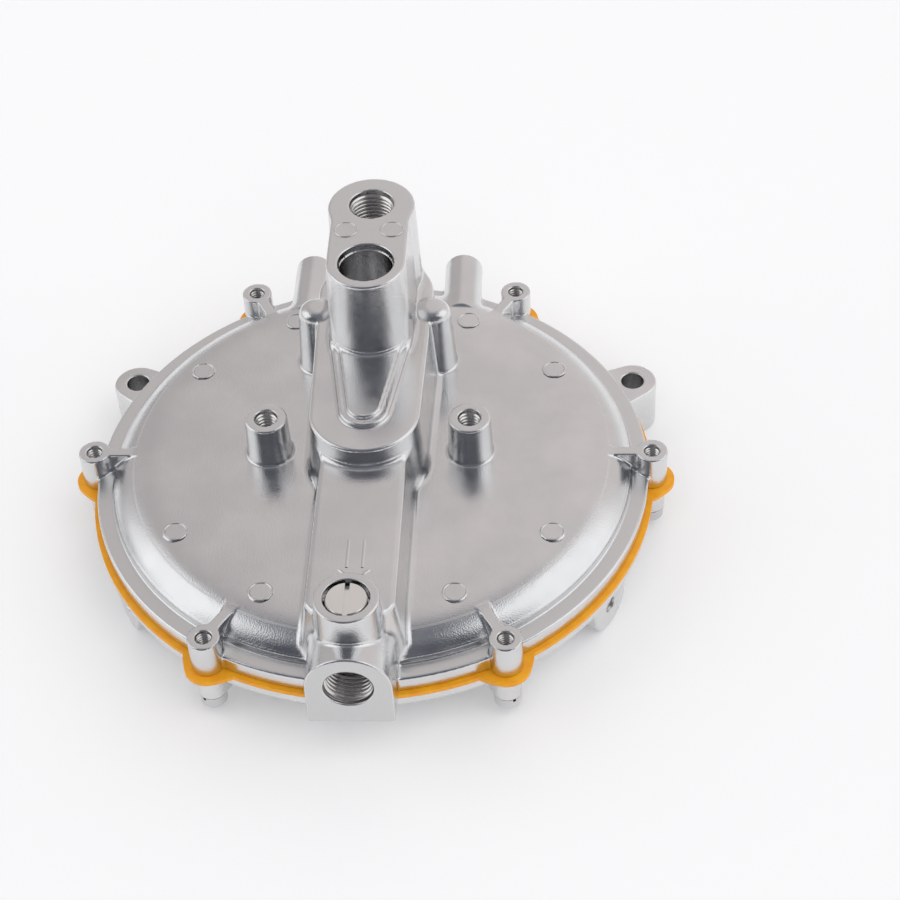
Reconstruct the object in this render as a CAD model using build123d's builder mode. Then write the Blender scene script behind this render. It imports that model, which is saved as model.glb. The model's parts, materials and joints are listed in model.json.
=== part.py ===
"""Low pressure gas demand regulator: a die-cast housing over a clamped diaphragm, with a lever valve inside.

Millimetres, Z up. The origin is on the body's axis, on the surface that the cover stands on.
The outlet port faces -Y and the inlet tower stands towards +Y.
"""
import os
from math import atan2, cos, degrees, hypot, radians, sin

from build123d import *

# Stack heights, from the surface up
cover_height = 15.8
diaphragm_thick = 1.2
lug_height = 10.5
plate_rise = 11.6
pad_rise = 18.7
tower_rise = 25.2
channel_rise = 12.9

# Upper housing, shell: widths are taken inwards from the circle of the cover screws
plate_wall = 3.0
rim_inset = 0.7
ledge_width = 4.0
ledge_rise = 4.5
crease_width = 1.1
crease_rise = 6.5
dome_round_width = 6.7
seal_width = 8.3
chamber_wall_rise = 3.5
chamber_slope_width = 8.0

# Six cover screws on the rim
screw_count = 6
screw_pitch_r = 75.0
lug_r = 4.2
lug_rib_width = 3.0
lug_rib_root = 0.5
thread_core_r = 1.65
thread_clearance = 0.05
screw_gap_below_lug_top = 4.5

# Pad under the tower, raised tongue in front of it, and the tower
pad_front_y = -5.2
pad_front_r = 15.6
pad_back_y = 42.0
pad_back_r = 16.9
pad_draft = 3.4
pad_edge_round = 0.7
tongue_rise = 2.2
tongue_tip_y = -5.0
tongue_tip_r = 6.6
tongue_root_y = 20.0
tongue_root_r = 10.6
tongue_edge_round = 0.8
tongue_foot_round = 0.8
edge_reach = 0.1
corner_reach = 1.0
tower_front_y = 25.0
tower_front_r = 11.8
tower_corner_y = 17.8
tower_corner_x = 10.3
tower_back_y = 48.6
tower_back_r = 13.1
tower_draft = 1.8
tower_edge_round = 0.4

# Gas passages and the spring chamber inside the tower
spring_bore_y = 25.0
spring_mouth_r = 7.3
spring_mouth_depth = 1.9
spring_bore_r = 7.05
spring_bore_depth = 17.0
inlet_y = 49.2
inlet_thread_r = 5.95
inlet_thread_depth = 14.0
screen_seat_r = 4.6
screen_seat_depth = 5.0
inlet_passage_r = 3.0
screen_clearance = 0.05
screen_wall = 0.6
screen_mesh_thick = 0.6
nozzle_boss_overlap = 0.5
nozzle_boss_drop = 8.5

# Channel to the outlet and the outlet port block
channel_top_half_width = 11.2
channel_base_half_width = 13.0
channel_overhang = 5.0
channel_corner_cut = 4.0
channel_edge_round = 1.0
channel_foot_round = 1.0
port_reach = 8.2
port_arc_r = 10.8
port_axis_rise = 11.8
port_bottom_half_width = 10.9
port_bottom_drop = 0.8
port_corner_round = 0.8
port_rim_gap = 0.7
outlet_axis_rise = 12.0
outlet_thread_r = 6.15
outlet_thread_depth = 9.0
outlet_passage_r = 4.6
passage_overrun = 2.0
cavity_half_width = 11.5
cavity_back_r = 9.0
channel_cavity_half_width = 8.0

# Boss of the flow screw over the outlet passage
flow_boss_inset = 12.9
flow_boss_r = 8.1
flow_boss_foot_round = 1.0
flow_boss_rise = 30.9
flow_mouth_r = 6.1
flow_mouth_depth = 3.6
flow_running_clearance = 0.06

# Threaded bosses, blind bosses, rear bosses and ejector marks on the plate
mount_boss_x = 26.9
mount_boss_y = -1.0
mount_boss_top_r = 5.6
mount_boss_base_r = 6.5
mount_boss_rise = 12.4
mount_thread_r = 2.5
mount_thread_depth = 11.0
blind_boss_x = 15.9
blind_boss_y = 34.6
blind_boss_top_r = 4.8
blind_boss_base_r = 6.0
blind_boss_rise = 20.4
blind_boss_round = 2.2
mount_boss_round = 0.4
boss_base_round = 1.0
rear_boss_x = 22.0
rear_boss_r = 5.4
rear_boss_reach = 5.9
rear_boss_axis_rise = 6.5
mark_r = 2.95
mark_rise = 0.3
tower_mark_rise = 0.1
mark_spots = [(4.95, 32.0), (5.83, 64.4)]
tower_mark_x = 6.15
tower_mark_y = 38.3

# Lever valve
pivot_y = blind_boss_y
pivot_pin_r = 1.5
pivot_pin_half_length = 13.2
pin_chamfer = 0.3
pivot_clearance = 0.05
pivot_end_clearance = 0.3
pin_screw_head_r = 4.5
pin_screw_head_height = 2.4
pin_screw_core_r = 1.7
pin_screw_length = 10.0
pin_screw_runout = 1.0
lever_thick = 2.0
lever_barrel_r = 2.8
lever_barrel_half_length = 9.0
lever_arm_half_width = 4.5
lever_tip_half_width = 3.5
lever_tip_overhang = 4.0
cup_r = 5.2
valve_pad_r = 4.15
valve_pad_clearance = 0.05
valve_pad_thick = 2.5
valve_pad_sink = 1.4
valve_gap = 0.1
nozzle_neck_r = 4.4
nozzle_taper = 12.0
nozzle_orifice_r = 2.4
nozzle_flats = 13.0
nozzle_flange_thick = 2.6
nozzle_thread_r = 5.0
nozzle_thread_length = 5.5
nozzle_thread_runout = 0.5

# Lever spring and its screw
spring_screw_r = 6.0
spring_screw_thick = 6.0
spring_screw_drop = 2.0
spring_seat_r = 5.0
spring_seat_depth = 1.5
spring_mean_r = 4.0
spring_wire_r = 0.45
spring_turns = 7
spring_end_gap = 0.05
slot_width = 1.2
slot_depth = 1.5

# Diaphragm and what is clamped to its centre
diaphragm_reach = 0.4
diaphragm_lobe_r = 6.2
diaphragm_lobe_root_r = 8.6
diaphragm_lobe_root_in = 3.5
diaphragm_sag = 2.0
diaphragm_fold_depth = 2.2
fold_edge_gap = 1.5
fold_plate_gap = 4.0
fold_round = 3.0
plate_thick = 1.0
upper_plate_r = 45.0
lower_plate_inset = 4.0
plate_lip = 2.0
plate_bend_r = 1.5
post_r = 3.0
post_flange_r = 7.0
post_flange_thick = 1.5
post_clearance = 0.05
post_gap_to_lever = 0.3
post_tip_round = 2.0
post_washer_r = 7.0
post_washer_thick = 0.8
rivet_head_r = 4.5
rivet_head_thick = 1.2
rivet_head_round = 0.8

# Cover
flange_reach = 0.9
flange_thick = 3.0
cover_lug_r = 3.7
cover_lug_drop = 8.7
cover_wall_lean = 5.0
cover_corner_r = 5.0
foot_width = 14.0
foot_height = 1.2
cover_floor = 2.5
cover_wall = 3.0
screw_pass_r = 2.2
ear_reach = 6.7
ear_angles = (30.0, 150.0)
ear_r = 6.7
ear_root_r = 9.0
ear_hole_r = 3.1
ear_top_drop = 1.1
ear_height = 14.7
side_boss_angles = (-30.0, -150.0)
side_boss_r = 7.5
side_boss_inset = 1.5
side_boss_z = 7.5
side_boss_seam_turn = 20.0
side_boss_thread_r = 2.1
side_boss_thread_depth = 5.5
vent_r = 1.5
vent_y = -30.0

# Cover screws
head_r = 3.5
head_height = 2.7
head_round = 0.6
screw_recess_length = 4.2
screw_recess_width = 1.1
screw_recess_depth = 1.6
spring_washer_r = 3.6
spring_washer_thick = 0.9
washer_hole_clearance = 0.1
washer_split = 0.8

# Primer button in the cover
primer_head_r = 8.0
primer_head_height = 2.0
primer_head_round = 0.6
primer_floor_gap = 0.6
primer_travel = 2.5
primer_stop_gap = 0.3
primer_pocket_clearance = 3.0
primer_turret_wall = 3.0
primer_plate = 1.8
primer_stem_r = 2.5
primer_running_clearance = 0.06
primer_well_r = 6.4
primer_well_depth = 1.4
clip_thick = 0.7
clip_r = 5.0
clip_groove_depth = 0.5
clip_clearance = 0.05
clip_mouth = 3.6
primer_coil_base_r = 5.4
primer_coil_top_r = 3.6
primer_wire_r = 0.25
primer_turns = 3

# Flow screw
flow_screw_head_r = 5.2
flow_screw_head_height = 3.0
flow_screw_recess = 0.5
flow_screw_length = 8.8
flow_head_chamfer = 0.25
flow_tip_r = 2.6
flow_tip_length = 5.0
flow_tip_taper = 20.0
flow_groove_drop = 4.0
flow_groove_width = 1.6
flow_groove_depth = 1.0
flow_body_r = 4.2
flow_ring_ease = 0.02

# Radii that follow from the circle of the cover screws
rim_r = screw_pitch_r - rim_inset
ledge_inner_r = rim_r - ledge_width
crease_r = ledge_inner_r - crease_width
dome_flat_r = crease_r - dome_round_width
chamber_r = rim_r - seal_width
ceiling_r = chamber_r - chamber_slope_width
lug_rib_inner_r = dome_flat_r - lug_rib_root
flange_r = rim_r + flange_reach
diaphragm_r = flange_r + diaphragm_reach
fold_outer_r = chamber_r - fold_edge_gap
fold_inner_r = upper_plate_r + fold_plate_gap
lower_plate_r = upper_plate_r - lower_plate_inset
cover_wall_top_r = chamber_r + cover_wall
cover_wall_base_r = cover_wall_top_r - cover_wall_lean
foot_inner_r = cover_wall_base_r - foot_width
ear_pitch_r = screw_pitch_r + ear_reach
side_boss_face_r = flange_r - side_boss_inset

# Places along Y that follow
channel_front_y = -(dome_flat_r + channel_overhang)
port_face_y = -(rim_r + port_reach)
flow_boss_y = port_face_y + flow_boss_inset
rear_boss_end_y = rim_r + rear_boss_reach

# Heights that follow
joint_z = cover_height + diaphragm_thick
lug_top_z = joint_z + lug_height
plate_z = joint_z + plate_rise
ceiling_z = plate_z - plate_wall
pad_z = plate_z + pad_rise
tower_z = pad_z + tower_rise
channel_z = plate_z + channel_rise
cavity_roof_z = pad_z - plate_wall
pivot_z = ceiling_z + pivot_pin_r
lever_under_z = pivot_z - lever_thick / 2
lever_over_z = pivot_z + lever_thick / 2
flow_boss_z = joint_z + flow_boss_rise
outlet_z = joint_z + outlet_axis_rise
nozzle_seat_z = cavity_roof_z - nozzle_boss_drop
valve_pad_top_z = lever_over_z - valve_pad_sink + valve_pad_thick
spring_screw_z = tower_z - spring_bore_depth - spring_screw_drop - spring_screw_thick
inlet_thread_floor_z = tower_z - inlet_thread_depth


def polar(radius, angle):
    return (radius * cos(radians(angle)), radius * sin(radians(angle)))


def outward_plane(radius, angle, z):
    """Plane across a radius of the body, facing away from its axis, with its X direction off the level."""
    x, y = polar(radius, angle)
    level, upright = polar(1.0, side_boss_seam_turn)
    return Plane(origin=(x, y, z), x_dir=(-level * sin(radians(angle)), level * cos(radians(angle)), upright),
                 z_dir=(cos(radians(angle)), sin(radians(angle)), 0))


def boss(x, y, base_z, rise, top_r, base_r, top_round):
    """Round cast boss with draft, a flared foot and a rounded top edge."""
    with BuildPart() as form:
        with BuildSketch(Plane.XZ):
            with BuildLine():
                start = (base_r + boss_base_round, base_z - plate_wall / 2)
                foot_start = (base_r + boss_base_round, base_z)
                foot_end = (base_r, base_z + boss_base_round)
                Polyline((0, base_z - plate_wall / 2), start, foot_start)
                RadiusArc(foot_start, foot_end, boss_base_round)
                Polyline(foot_end, (top_r, base_z + rise), (0, base_z + rise), (0, base_z - plate_wall / 2))
            make_face()
        revolve(axis=Axis.Z)
        fillet(form.edges().group_by(Axis.Z)[-1], top_round)
    return Pos(x, y, 0) * form.part


def coil(x, y, base_r, top_r, wire_r, turns, bottom_z, top_z):
    """Compression spring that stands between two heights, its wire's centre circle from base_r to top_r."""
    rise = top_z - bottom_z - 2 * wire_r
    taper = degrees(atan2(top_r - base_r, rise))
    with BuildPart() as spring:
        with BuildLine() as path:
            Helix(rise / turns, rise, base_r, center=(0, 0, bottom_z + wire_r), cone_angle=taper)
        with BuildSketch(Plane(origin=path.line @ 0, z_dir=path.line % 0)):
            Circle(wire_r)
        sweep(is_frenet=True)
    return Pos(x, y, 0) * spring.part


def on_plate(edge):
    """Whether an edge lies on the plate's upper face."""
    return abs(edge.center().Z - plate_z) < edge_reach


def around_flow_boss(edge):
    """Whether an edge lies in the corner around the foot of the flow screw's boss."""
    middle = edge.center()
    near = hypot(middle.X, middle.Y - flow_boss_y) < flow_boss_r + corner_reach
    return near and outlet_z + corner_reach < middle.Z < channel_z + corner_reach


def beside_tongue(edge):
    """Whether an edge of the pad's top lies along the front or a side of the tongue."""
    middle = edge.center()
    near = abs(middle.X) < tongue_root_r + edge_reach and abs(middle.Z - pad_z) < edge_reach
    return near and tongue_tip_y - tongue_tip_r - edge_reach < middle.Y < tongue_root_y


def save(piece, name):
    """Label a finished sub-part and write its STEP file."""
    piece.part.label = name
    export_step(piece.part, f"parts/{name}.step")


os.makedirs("parts", exist_ok=True)


# Forms with rounded edges that are joined to the housing

with BuildPart() as pad_form:
    with BuildSketch(Plane.XY.offset(plate_z)):
        with Locations((0, pad_front_y)):
            Circle(pad_front_r)
        with Locations((0, pad_back_y)):
            Circle(pad_back_r)
        make_hull()
    extrude(amount=pad_rise, taper=pad_draft)
    fillet(pad_form.edges().group_by(Axis.Z)[-1], pad_edge_round)

with BuildPart() as tongue_form:
    with BuildSketch(Plane.XY.offset(pad_z)):
        with Locations((0, tongue_tip_y)):
            Circle(tongue_tip_r)
        with Locations((0, tongue_root_y)):
            Circle(tongue_root_r)
        make_hull()
    extrude(amount=tongue_rise)
    fillet(tongue_form.edges().group_by(Axis.Z)[-1], tongue_edge_round)

with BuildPart() as tower_form:
    with BuildSketch(Plane.XY.offset(plate_z)):
        with Locations((0, tower_front_y)):
            Circle(tower_front_r)
        with Locations((0, (tower_front_y + tower_back_y) / 2)):
            Rectangle(2 * tower_front_r, tower_back_y - tower_front_y)
        with Locations((0, tower_back_y)):
            Circle(tower_back_r)
    extrude(amount=pad_rise + tower_rise, taper=tower_draft)
    fillet(tower_form.edges().group_by(Axis.Z)[-1], tower_edge_round)
    with BuildSketch(Plane.YZ):
        with BuildLine():
            Polyline(
                (tower_corner_y, pad_z),
                (tower_front_y, tower_z - tower_edge_round),
                (tower_front_y, pad_z),
                close=True,
            )
        make_face()
    extrude(amount=tower_corner_x, both=True)

with BuildPart() as channel_form:
    with BuildSketch(Plane.XZ.offset(-pad_front_y)):
        with BuildLine():
            Polyline(
                (-channel_base_half_width, joint_z + crease_rise),
                (channel_base_half_width, joint_z + crease_rise),
                (channel_top_half_width, channel_z),
                (-channel_top_half_width, channel_z),
                close=True,
            )
        make_face()
    extrude(amount=pad_front_y - channel_front_y)
    front_face = channel_form.faces().sort_by(Axis.Y)[0]
    front_corners = front_face.edges().sort_by(Axis.X)
    chamfer([front_corners[0], front_corners[-1]], channel_corner_cut)
    fillet(channel_form.edges().group_by(Axis.Z)[-1].sort_by(Axis.Y)[:-1], channel_edge_round)

with BuildPart() as port_form:
    with BuildSketch(Plane.XZ.offset(-port_face_y)):
        with BuildLine():
            arch = CenterArc((0, joint_z + port_axis_rise), port_arc_r, 0, 180)
            Polyline(
                arch @ 1,
                (-port_bottom_half_width, joint_z - port_bottom_drop),
                (port_bottom_half_width, joint_z - port_bottom_drop),
                arch @ 0,
            )
        make_face()
    extrude(amount=port_face_y + dome_flat_r)
    fillet(port_form.edges().filter_by(Axis.Y).group_by(Axis.Z)[0], port_corner_round)


# Upper housing: one die casting with lugs, pad, tower, channel, port and bosses

with BuildPart() as upper_housing:
    with BuildSketch(Plane.XZ):
        with BuildLine():
            Line((0, plate_z), (dome_flat_r, plate_z))
            crease = (crease_r, joint_z + crease_rise)
            round_over = TangentArc((dome_flat_r, plate_z), crease, tangent=(1, 0))
            Polyline(
                round_over @ 1,
                (ledge_inner_r, joint_z + ledge_rise),
                (rim_r, joint_z + ledge_rise),
                (rim_r, joint_z),
                (0, joint_z),
                (0, plate_z),
            )
        make_face()
    revolve(axis=Axis.Z)
    add(channel_form.part)
    fillet(upper_housing.edges().filter_by(Axis.Y).filter_by(on_plate), channel_foot_round)
    add(port_form.part)
    with BuildSketch(Plane.XY.offset(outlet_z)):
        with Locations((0, flow_boss_y)):
            Circle(flow_boss_r)
    extrude(amount=flow_boss_z - outlet_z)
    fillet(upper_housing.edges().filter_by(around_flow_boss), flow_boss_foot_round)
    add(pad_form.part)
    add(tongue_form.part)
    fillet(upper_housing.edges().filter_by(beside_tongue), tongue_foot_round)
    add(tower_form.part)
    for side in (-1, 1):
        add(boss(side * mount_boss_x, mount_boss_y, plate_z, mount_boss_rise,
                 mount_boss_top_r, mount_boss_base_r, mount_boss_round))
        add(boss(side * blind_boss_x, blind_boss_y, plate_z, blind_boss_rise,
                 blind_boss_top_r, blind_boss_base_r, blind_boss_round))

    # Lugs for the cover screws, each with a flat-topped rib that runs into the dome
    with BuildSketch(Plane.XY.offset(joint_z)):
        with PolarLocations(screw_pitch_r, screw_count):
            Circle(lug_r)
        with PolarLocations((screw_pitch_r + lug_rib_inner_r) / 2, screw_count):
            Rectangle(screw_pitch_r - lug_rib_inner_r, lug_rib_width)
    extrude(amount=lug_height)

    # Bosses that point backwards over the rim
    with BuildSketch(Plane.XZ.offset(-rear_boss_end_y)):
        for side in (-1, 1):
            with Locations((side * rear_boss_x, joint_z + rear_boss_axis_rise)):
                Circle(rear_boss_r)
    extrude(amount=rear_boss_end_y - ceiling_r)

    # Ejector marks
    with BuildSketch(Plane.XY.offset(plate_z)):
        for inset, angle in mark_spots:
            for turn in (angle, 180 - angle, -angle, angle - 180):
                with Locations(polar(dome_flat_r - inset, turn)):
                    Circle(mark_r)
    extrude(amount=mark_rise)
    with BuildSketch(Plane.XY.offset(tower_z)):
        with Locations((-tower_mark_x, tower_mark_y), (tower_mark_x, tower_mark_y)):
            Circle(mark_r)
    extrude(amount=tower_mark_rise)

    # Gas chamber under the plate, and the room in front of the port block for the diaphragm's edge
    with BuildSketch(Plane.XZ):
        with BuildLine():
            Polyline(
                (0, joint_z),
                (chamber_r, joint_z),
                (chamber_r, joint_z + chamber_wall_rise),
                (ceiling_r, ceiling_z),
                (0, ceiling_z),
                close=True,
            )
        make_face()
    revolve(axis=Axis.Z, mode=Mode.SUBTRACT)
    with BuildSketch(Plane.XY.offset(joint_z)):
        Circle(diaphragm_r + port_rim_gap)
    extrude(amount=-port_bottom_drop, mode=Mode.SUBTRACT)

    # Room for the lever under the pad, and the channel from it to the outlet
    with BuildSketch(Plane.XY.offset(ceiling_z)):
        with Locations((0, pad_front_y)):
            Circle(cavity_half_width)
        with Locations((0, inlet_y)):
            Circle(cavity_back_r)
        make_hull()
    extrude(amount=cavity_roof_z - ceiling_z, mode=Mode.SUBTRACT)
    with BuildSketch(Plane.XY.offset(ceiling_z)):
        with Locations((0, (pad_front_y - ceiling_r) / 2)):
            Rectangle(2 * channel_cavity_half_width, pad_front_y + ceiling_r)
    extrude(amount=channel_z - plate_wall - ceiling_z, mode=Mode.SUBTRACT)

    # Boss that holds the inlet nozzle, hanging from the roof of the lever's room
    with BuildSketch(Plane.XY.offset(nozzle_seat_z)):
        with Locations((0, inlet_y)):
            Circle(cavity_back_r + nozzle_boss_overlap)
    extrude(amount=cavity_roof_z - nozzle_seat_z)

    # Inlet: port thread, seat of the screen, passage and nozzle thread
    with BuildSketch(Plane.XY.offset(nozzle_seat_z)):
        with Locations((0, inlet_y)):
            Circle(inlet_passage_r)
    extrude(amount=tower_z - nozzle_seat_z, mode=Mode.SUBTRACT)
    with BuildSketch(Plane.XY.offset(nozzle_seat_z)):
        with Locations((0, inlet_y)):
            Circle(nozzle_thread_r + thread_clearance)
    extrude(amount=nozzle_thread_length + nozzle_thread_runout, mode=Mode.SUBTRACT)
    with BuildSketch(Plane.XY.offset(tower_z)):
        with Locations((0, inlet_y)):
            Circle(inlet_thread_r)
    extrude(amount=-inlet_thread_depth, mode=Mode.SUBTRACT)
    with BuildSketch(Plane.XY.offset(inlet_thread_floor_z)):
        with Locations((0, inlet_y)):
            Circle(screen_seat_r)
    extrude(amount=-screen_seat_depth, mode=Mode.SUBTRACT)

    # Spring chamber in the tower, open to the lever's room below
    with BuildSketch(Plane.XY.offset(tower_z)):
        with Locations((0, spring_bore_y)):
            Circle(spring_mouth_r)
    extrude(amount=-spring_mouth_depth, mode=Mode.SUBTRACT)
    with BuildSketch(Plane.XY.offset(tower_z)):
        with Locations((0, spring_bore_y)):
            Circle(spring_bore_r)
    extrude(amount=-spring_bore_depth, mode=Mode.SUBTRACT)
    with BuildSketch(Plane.XY.offset(tower_z)):
        with Locations((0, spring_bore_y)):
            Circle(spring_screw_r + thread_clearance)
    extrude(amount=cavity_roof_z - tower_z, mode=Mode.SUBTRACT)

    # Outlet: port thread and passage into the channel
    with BuildSketch(Plane.XZ.offset(-port_face_y)):
        with Locations((0, outlet_z)):
            Circle(outlet_thread_r)
    extrude(amount=-outlet_thread_depth, mode=Mode.SUBTRACT)
    with BuildSketch(Plane.XZ.offset(-port_face_y)):
        with Locations((0, outlet_z)):
            Circle(outlet_passage_r)
    extrude(amount=port_face_y + ceiling_r - passage_overrun, mode=Mode.SUBTRACT)

    # Flow screw's bore and mouth
    with BuildSketch(Plane.XY.offset(flow_boss_z)):
        with Locations((0, flow_boss_y)):
            Circle(flow_mouth_r)
    extrude(amount=-flow_mouth_depth, mode=Mode.SUBTRACT)
    with BuildSketch(Plane.XY.offset(flow_boss_z)):
        with Locations((0, flow_boss_y)):
            Circle(flow_body_r + flow_running_clearance)
    extrude(amount=outlet_z - flow_boss_z, mode=Mode.SUBTRACT)

    # Threaded holes of the mount bosses, the lugs and the pin's screws
    with BuildSketch(Plane.XY.offset(plate_z + mount_boss_rise)):
        with Locations((-mount_boss_x, mount_boss_y), (mount_boss_x, mount_boss_y)):
            Circle(mount_thread_r)
    extrude(amount=-mount_thread_depth, mode=Mode.SUBTRACT)
    with BuildSketch(Plane.XY.offset(joint_z)):
        with PolarLocations(screw_pitch_r, screw_count):
            Circle(thread_core_r + thread_clearance)
    extrude(amount=lug_height, mode=Mode.SUBTRACT)
    with BuildSketch(Plane.XY.offset(ceiling_z)):
        with Locations((-blind_boss_x, blind_boss_y), (blind_boss_x, blind_boss_y)):
            Circle(pin_screw_core_r + thread_clearance)
    extrude(amount=pin_screw_length + pin_screw_runout, mode=Mode.SUBTRACT)

    # Groove across the lever's room for the pivot pin, open downwards
    groove_half_length = pivot_pin_half_length + pivot_end_clearance
    with BuildSketch(Plane.YZ.offset(-groove_half_length)):
        with Locations((pivot_y, pivot_z)):
            Circle(pivot_pin_r + pivot_clearance)
        with Locations((pivot_y, (pivot_z + ceiling_z) / 2)):
            Rectangle(2 * (pivot_pin_r + pivot_clearance), pivot_z - ceiling_z)
    extrude(amount=2 * groove_half_length, mode=Mode.SUBTRACT)

save(upper_housing, "upper_housing")


# Inlet: a screen in its seat, and the brass nozzle that the valve pad closes

with BuildPart() as inlet_screen:
    with BuildSketch(Plane.XY.offset(inlet_thread_floor_z - screen_seat_depth)):
        with Locations((0, inlet_y)):
            Circle(screen_seat_r - screen_clearance)
    extrude(amount=screen_seat_depth)
    with BuildSketch(Plane.XY.offset(inlet_thread_floor_z)):
        with Locations((0, inlet_y)):
            Circle(screen_seat_r - screen_clearance - screen_wall)
    extrude(amount=-(screen_seat_depth - screen_mesh_thick), mode=Mode.SUBTRACT)
save(inlet_screen, "inlet_screen")

with BuildPart() as inlet_nozzle:
    lip_z = valve_pad_top_z + valve_gap
    flange_z = nozzle_seat_z - nozzle_flange_thick
    with BuildSketch(Plane.XY.offset(nozzle_seat_z)):
        with Locations((0, inlet_y)):
            Circle(nozzle_thread_r)
    extrude(amount=nozzle_thread_length)
    with BuildSketch(Plane.XY.offset(flange_z)):
        with Locations((0, inlet_y)):
            RegularPolygon(nozzle_flats / 2, 6, major_radius=False)
    extrude(amount=nozzle_flange_thick)
    with BuildSketch(Plane.XY.offset(flange_z)):
        with Locations((0, inlet_y)):
            Circle(nozzle_neck_r)
    extrude(amount=-(flange_z - lip_z), taper=nozzle_taper)
    with BuildSketch(Plane.XY.offset(lip_z)):
        with Locations((0, inlet_y)):
            Circle(nozzle_orifice_r)
    extrude(amount=nozzle_seat_z + nozzle_thread_length - lip_z, mode=Mode.SUBTRACT)
save(inlet_nozzle, "inlet_nozzle")


# Lever valve: lever, pad, pin and the pin's screws

with BuildPart() as lever:
    with BuildSketch(Plane.XY.offset(lever_under_z)):
        with Locations((0, pivot_y)):
            Rectangle(2 * lever_arm_half_width, 2 * lever_barrel_r)
        with Locations((0, -lever_tip_overhang + lever_tip_half_width)):
            Circle(lever_tip_half_width)
        make_hull()
    extrude(amount=lever_thick)
    with BuildSketch(Plane.XY.offset(lever_under_z)):
        with Locations((0, inlet_y)):
            Circle(cup_r)
        with Locations((0, (pivot_y + inlet_y) / 2)):
            Rectangle(2 * lever_arm_half_width, inlet_y - pivot_y)
    extrude(amount=lever_thick)
    with BuildSketch(Plane.YZ.offset(-lever_barrel_half_length)):
        with Locations((pivot_y, pivot_z)):
            Circle(lever_barrel_r)
    extrude(amount=2 * lever_barrel_half_length)
    with BuildSketch(Plane.YZ.offset(-lever_barrel_half_length)):
        with Locations((pivot_y, pivot_z)):
            Circle(pivot_pin_r + pivot_clearance)
    extrude(amount=2 * lever_barrel_half_length, mode=Mode.SUBTRACT)
    with BuildSketch(Plane.XY.offset(lever_over_z)):
        with Locations((0, inlet_y)):
            Circle(valve_pad_r + valve_pad_clearance)
    extrude(amount=-valve_pad_sink, mode=Mode.SUBTRACT)
save(lever, "lever")

with BuildPart() as valve_pad:
    with BuildSketch(Plane.XY.offset(valve_pad_top_z)):
        with Locations((0, inlet_y)):
            Circle(valve_pad_r)
    extrude(amount=-valve_pad_thick)
save(valve_pad, "valve_pad")

with BuildPart() as lever_pin:
    with BuildSketch(Plane.YZ.offset(-pivot_pin_half_length)):
        with Locations((pivot_y, pivot_z)):
            Circle(pivot_pin_r)
    extrude(amount=2 * pivot_pin_half_length)
    chamfer(lever_pin.edges(), pin_chamfer)
save(lever_pin, "lever_pin")

with BuildPart() as pin_screws:
    with BuildSketch(Plane.XY.offset(ceiling_z)):
        with Locations((-blind_boss_x, blind_boss_y), (blind_boss_x, blind_boss_y)):
            Circle(pin_screw_head_r)
    extrude(amount=-pin_screw_head_height)
    with BuildSketch(Plane.XY.offset(ceiling_z)):
        with Locations((-blind_boss_x, blind_boss_y), (blind_boss_x, blind_boss_y)):
            Circle(pin_screw_core_r)
    extrude(amount=pin_screw_length)
    with BuildSketch(Plane.XY.offset(ceiling_z - pin_screw_head_height)):
        with Locations((-blind_boss_x, blind_boss_y), (blind_boss_x, blind_boss_y)):
            Rectangle(2 * pin_screw_head_r, slot_width)
    extrude(amount=slot_depth, mode=Mode.SUBTRACT)
save(pin_screws, "pin_screws")


# Spring that holds the valve shut, and the slotted screw that sets it

with BuildPart() as spring_screw:
    with BuildSketch(Plane.XY.offset(spring_screw_z)):
        with Locations((0, spring_bore_y)):
            Circle(spring_screw_r)
    extrude(amount=spring_screw_thick)
    with BuildSketch(Plane.XY.offset(spring_screw_z)):
        with Locations((0, spring_bore_y)):
            Circle(spring_seat_r)
    extrude(amount=spring_seat_depth, mode=Mode.SUBTRACT)
    with BuildSketch(Plane.XY.offset(spring_screw_z + spring_screw_thick)):
        with Locations((0, spring_bore_y)):
            Rectangle(2 * spring_screw_r, slot_width)
    extrude(amount=-slot_depth, mode=Mode.SUBTRACT)
save(spring_screw, "spring_screw")

with BuildPart() as lever_spring:
    add(coil(0, spring_bore_y, spring_mean_r, spring_mean_r, spring_wire_r, spring_turns,
             lever_over_z + spring_end_gap, spring_screw_z + spring_seat_depth - spring_end_gap))
save(lever_spring, "lever_spring")


# Diaphragm: clamped rim with a lobe at each screw, one fold, and a flat centre that hangs lower

rim_mid_z = cover_height + diaphragm_thick / 2
centre_mid_z = rim_mid_z - diaphragm_sag
fold_mid_r = (fold_outer_r + fold_inner_r) / 2
with BuildPart() as diaphragm:
    with BuildSketch(Plane.XZ):
        with BuildLine() as diaphragm_path:
            FilletPolyline(
                (diaphragm_r, rim_mid_z),
                (fold_outer_r, rim_mid_z),
                (fold_mid_r, centre_mid_z - diaphragm_fold_depth),
                (fold_inner_r, centre_mid_z),
                (post_r + post_clearance, centre_mid_z),
                radius=fold_round,
            )
        trace(line_width=diaphragm_thick)
    revolve(axis=Axis.Z)
    for angle in range(0, 360, 360 // screw_count):
        with BuildSketch(Plane.XY.offset(cover_height)):
            with Locations(polar(screw_pitch_r, angle)):
                Circle(diaphragm_lobe_r)
            with Locations(polar(screw_pitch_r - diaphragm_lobe_root_in, angle)):
                Circle(diaphragm_lobe_root_r)
            make_hull()
            Circle(chamber_r, mode=Mode.SUBTRACT)
        extrude(amount=diaphragm_thick)
    with BuildSketch(Plane.XY.offset(cover_height)):
        with PolarLocations(screw_pitch_r, screw_count):
            Circle(screw_pass_r)
    extrude(amount=diaphragm_thick, mode=Mode.SUBTRACT)
save(diaphragm, "diaphragm")


# Plates, post, washer and nut clamped on the diaphragm's centre

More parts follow.
